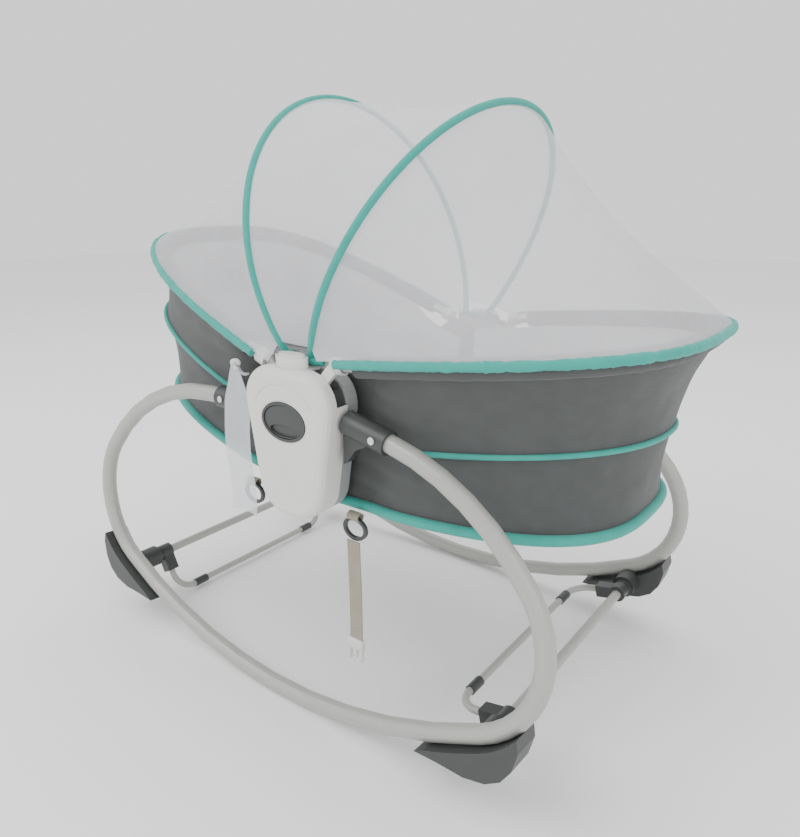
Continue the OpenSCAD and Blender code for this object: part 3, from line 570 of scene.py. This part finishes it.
def strip(name, near_line, far_line, sag, cad, a, b):
    def place(u, v):
        s = v * 2 - 1
        p = mixed(near_line(s), far_line(s), u)
        inward = (p - Vector((HUB, 0, 0.38))).normalized()
        puck = noise.noise(Vector((s * 9, u * 2 + sag * 50, 3.1))) * 0.0022
        return p - inward * ((sag * 4 * u * (1 - u)) * ends(s) + puck * 4 * u * (1 - u))
    o = grid(name, 15, 97, place)
    weights = {}
    for v in o.data.vertices:
        weights[v.index] = None
    outward(o)
    modify(o, "SOLIDIFY", thickness=0.0004, offset=0)
    outward(o)
    finish_piece(o, NET, 80)
    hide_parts(cad)
    # how far each point lies between the two lines, measured on the sheet
    lines = [(near_line(i / 60 - 1), far_line(i / 60 - 1)) for i in range(121)]

    def weight(p):
        k = min(range(121), key=lambda i: (mixed(*lines[i], 0.5) - p).length if i % 4 == 0 else 9)
        near = min((q[0] - p).length for q in lines[max(0, k - 14):k + 15])
        far = min((q[1] - p).length for q in lines[max(0, k - 14):k + 15])
        return near / max(near + far, 1e-9)
    bend_by(o, a, b, weight)
    return o


H = lambda s: hoop_point(HEAD, s)
F = lambda s: hoop_point(FOOT, s)
strip("net_1_head_low", lambda s: rim_point(HEAD, s), lambda s: halfway(HEAD, s), 0.003, "net_head_outer", "head_section", "frame")
strip("net_2_head_high", lambda s: halfway(HEAD, s), H, 0.003, "net_head_inner", "frame", "head_hoop_body")
strip("net_3_crown_head", H, crown, 0.003, "net_crown_head", "head_hoop_body", "frame")
strip("net_4_crown_foot", crown, F, 0.003, "net_crown_foot", "frame", "foot_hoop_body")
strip("net_5_foot_high", F, lambda s: halfway(FOOT, s), 0.003, "net_foot_inner", "foot_hoop_body", "frame")
strip("net_6_foot_low", lambda s: halfway(FOOT, s), lambda s: rim_point(FOOT, s), 0.003, "net_foot_outer", "frame", "foot_section")

# %% [markdown]
# ## Pads
# Each pad starts as a flat closed D and is blown up a little by a cloth simulation.

# %%
SEAT_LEN = {HEAD: 0.348, FOOT: 0.296}
FLOOR_RISE = {HEAD: math.radians(11), FOOT: math.radians(1.8)}


def pad_shape(end, x, y, z):
    a = FLOOR_RISE[end]
    return Vector((HUB + end * (x * math.cos(a) - z * math.sin(a)), y, 0.270 + x * math.sin(a) + z * math.cos(a)))


def pad(end, part):
    a, b, n, start = SEAT_LEN[end], 0.136, 3, 0.018

    def place(u, v):
        x = start + (a - start) * u
        w = b * (1 - min(x / a, 0.9999) ** n) ** (1 / n)
        return Vector((x, (v * 2 - 1) * max(w, 0.02), 0.010))
    o = grid(f"{part}_mattress", 31, 25, place)
    edit(o, lambda: bpy.ops.mesh.extrude_region_move(TRANSFORM_OT_translate={"value": (0, 0, 0.018)}))
    outward(o)
    pick(o)
    m = o.modifiers.new("cloth", "CLOTH")
    m.settings.quality = 6
    m.settings.use_pressure = True
    m.settings.uniform_pressure_force = 2.2
    m.settings.effector_weights.gravity = 0
    m.settings.tension_stiffness = 25
    m.settings.shrink_min = -0.02
    m.settings.bending_stiffness = 2
    m.collision_settings.use_collision = False
    for frame_number in range(1, 26):
        bpy.context.scene.frame_set(frame_number)
    bpy.ops.object.modifier_apply(modifier="cloth")
    bpy.context.scene.frame_set(1)
    top = 0.008 + 0.027
    for v in o.data.vertices:
        p = v.co.copy()
        p.z = min(max(p.z, 0.0085), top)
        p.x = min(max(p.x, 0.017), a)
        p.y = min(max(p.y, -b), b)
        # sewn channels across the top
        if p.z > 0.02:
            p.z -= 0.0016 * (0.5 + 0.5 * math.cos(p.x * math.tau / 0.06)) ** 6
        v.co = pad_shape(end, p.x, p.y, p.z)
    outward(o)
    modify(o, "SUBSURF", levels=1, render_levels=1)
    uv_from_place(o)
    finish_piece(o, PADDING, 60)
    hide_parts(f"{part}_pad")
    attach(o, f"{part}_section")


pad(HEAD, "head")
pad(FOOT, "foot")

# %% [markdown]
# ## Strap, buckle and clear flap

# %%
lo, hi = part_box("strap")
sx, sy, top_z, low_z = (lo[0] + hi[0]) / 2, (lo[1] + hi[1]) / 2, hi[2], lo[2]
STRAP_L = top_z - low_z
path = []
for i in range(33):
    t = i / 32
    path.append(Vector((sx + 0.003 * math.sin(t * 2.6), sy - 0.0016 * math.sin(t * 3.1), top_z - STRAP_L * t)))


def strap_place(u, v):
    i = min(int(round(u * 32)), 32)
    return path[i] + Vector(((v - 0.5) * 0.018, 0, 0))


strap = grid("hanging_strap", 33, 7, strap_place)
outward(strap)
modify(strap, "SOLIDIFY", thickness=0.0015, offset=0)
outward(strap)
finish_piece(strap, WEBBING)
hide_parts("strap")
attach(strap, "foot_section")

for end, part in ((HEAD, "head"), (FOOT, "foot")):
    rlo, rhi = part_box(f"{part}_rings")
    for side in (-1, 1):
        at = Vector(((rlo[0] + rhi[0]) / 2, side * 0.172, rhi[2] - 0.0022))
        loop = [at + Vector((0, 0.0052 * math.cos(a), 0.0046 * math.sin(a) + 0.0035)) for a in (math.tau * i / 24 for i in range(24))]
        band = grid(f"{part}_loop_{'near' if side < 0 else 'far'}", 25, 5, lambda u, v, loop=loop: loop[int(round(u * 24)) % 24] + Vector(((v - 0.5) * 0.016, 0, 0)))
        edit(band, lambda: bpy.ops.mesh.remove_doubles(threshold=1e-6))
        outward(band)
        modify(band, "SOLIDIFY", thickness=0.0012, offset=0)
        outward(band)
        finish_piece(band, WEBBING)
        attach(band, f"{part}_section")

blo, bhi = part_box("strap_buckle")
bx, by, btop = (blo[0] + bhi[0]) / 2, (blo[1] + bhi[1]) / 2, bhi[2]


def block(name, size, at, bevel=0.0015):
    deselect()
    bpy.ops.mesh.primitive_cube_add(size=1)
    o = bpy.context.object
    o.name = name
    for v in o.data.vertices:
        v.co = Vector((v.co.x * size[0] + at[0], v.co.y * size[1] + at[1], v.co.z * size[2] + at[2]))
    modify(o, "BEVEL", width=bevel, segments=3)
    return o


parts = [block("buckle_body", (0.024, 0.007, 0.014), (bx, by, btop - 0.007)),
         block("buckle_prong_1", (0.004, 0.005, 0.018), (bx - 0.009, by, btop - 0.0215), 0.0012),
         block("buckle_prong_2", (0.004, 0.005, 0.018), (bx + 0.009, by, btop - 0.0215), 0.0012),
         block("buckle_guide", (0.005, 0.004, 0.014), (bx, by, btop - 0.0195), 0.0012)]
pick(parts[0])
for o in parts[1:]:
    o.select_set(True)
bpy.ops.object.join()
buckle = parts[0]
buckle.name = "buckle_half"
finish_piece(buckle, WHITE, 30)
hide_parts("strap_buckle")
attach(buckle, "foot_section")

flo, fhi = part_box("clear_flap")
FW, FL = fhi[0] - flo[0], fhi[2] - flo[2]


def flap_place(u, v):
    # u runs down from the knot, v across
    z = fhi[2] - 0.012 - (FL - 0.012) * u
    open_up = min(1, 0.16 + 2.6 * max(u - 0.02, 0) ** 0.8)
    x = (flo[0] + fhi[0]) / 2 + (v - 0.5) * FW * min(open_up, 1)
    y = flo[1] - 0.001 + 0.006 * math.sin(v * 3.1) * (0.4 + u) * 0.5 + 0.002 * math.sin(u * 9)
    return Vector((x, y, z))


def ring_of(centre, r, turn):
    return [centre + Vector((r * math.cos(a) * math.cos(turn), r * 0.35 * math.sin(2 * a), r * math.sin(a)))
            for a in (math.tau * i / 40 for i in range(40))]


knot_at = Vector(((flo[0] + fhi[0]) / 2, flo[1] + 0.002, fhi[2] - 0.017))
knot = tube("flap_knot", ring_of(knot_at, 0.0045, 0.4)[:38], 0.0026, 10)
finish_piece(knot, WHITE, 60)
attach(knot, "frame")
tie_end = Vector((HUB - 0.070, flo[1] + 0.004, 0.400))
tie = tube("flap_tie", [knot_at.lerp(tie_end, i / 20) - Vector((0, 0, 0.004 * math.sin(math.pi * i / 20))) for i in range(21)],
           lambda t: 0.0032 + 0.0006 * math.sin(t * 9), 10, 0.45)
finish_piece(tie, FILM, 60)
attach(tie, "frame")

flap = grid("clear_flap_sheet", 41, 17, flap_place)
outward(flap)
modify(flap, "SOLIDIFY", thickness=0.0004, offset=0)
outward(flap)
finish_piece(flap, FILM, 80)
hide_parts("clear_flap")
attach(flap, "frame")

# %% [markdown]
# ## Hub trims
# A gathered hem crosses the top of each hub, and a raised line frames the latch.

# %%
chi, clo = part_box("near_hub_cover")[1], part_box("near_hub_cover")[0]
for side, part in ((-1, "near"), (1, "far")):
    path = []
    for i in range(61):
        t = i / 60 * 2 - 1
        path.append(Vector((HUB + 0.007 + 0.025 * t, side * (0.1825 + 0.004 * (1 - t * t)), 0.4195 + 0.0045 * (1 - t * t) + 0.004 * t * t)))
    top = tube(f"{part}_hub_hem", path, lambda t: 0.0036 + 0.0007 * noise.noise(Vector((t * 30, side, 2))), 12, 1.1)
    finish_piece(top, TEAL, 60)
    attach(top, "frame")
    front = (clo.y if side < 0 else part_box("far_hub_cover")[1].y)
    arch = []
    for i in range(49):
        a = math.pi * (0.06 + 0.88 * i / 48)
        arch.append(Vector((HUB + 0.043 * math.cos(a), front - side * 0.0002, 0.372 + 0.030 * math.sin(a))))
    line = tube(f"{part}_hub_arch_line", arch, 0.0011, 8)
    finish_piece(line, WHITE, 60)
    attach(line, "frame")

# %% [markdown]
# ## Studio

# %%
deselect()
bpy.ops.mesh.primitive_plane_add(size=14)
floor = bpy.context.object
floor.name = "floor"
floor_paint = Paint("floor_paint", (0.93, 0.93, 0.93), 0.85)
floor_paint.tint(floor_paint.noise(2, 1), (0.92, 0.92, 0.92), (0.94, 0.94, 0.94))
floor.data.materials.append(floor_paint.material)

world = bpy.data.worlds.new("studio")
bpy.context.scene.world = world
world.use_nodes = True
world.node_tree.nodes["Background"].inputs[0].default_value = (1, 1, 1, 1)
world.node_tree.nodes["Background"].inputs[1].default_value = 1.2


def lamp(name, at, power, size):
    light = bpy.data.lights.new(name, "AREA")
    light.energy, light.size = power, size
    o = bpy.data.objects.new(name, light)
    bpy.context.collection.objects.link(o)
    o.location = at
    o.rotation_euler = (Vector((0, 0, 0.3)) - Vector(at)).to_track_quat("-Z", "Y").to_euler()


lamp("key", (-1.4, -1.9, 2.4), 46, 1.8)
lamp("fill", (2.2, -1.2, 1.5), 18, 2.0)
lamp("top", (0.2, 0.8, 2.8), 26, 2.4)

camera_data = bpy.data.cameras.new("camera")
camera = bpy.data.objects.new("camera", camera_data)
bpy.context.collection.objects.link(camera)
camera_data.sensor_fit = "HORIZONTAL"
camera_data.sensor_width = 36
camera_data.lens = 698.1 * 36 / 800
camera_data.shift_x = -(395.44 - 400) / 800
camera_data.shift_y = (418.07 - 418.5) / 800
az, el, roll = math.radians(37.784), math.radians(17.478), math.radians(0.14)
camera.location = (HUB + 0.532, -0.7047, 0.5888)
look = Vector((-math.sin(az) * math.cos(el), math.cos(az) * math.cos(el), -math.sin(el)))
camera.rotation_euler = (look.to_track_quat("-Z", "Y").to_matrix() @ Matrix.Rotation(-roll, 3, "Z")).to_euler()
bpy.context.scene.camera = camera
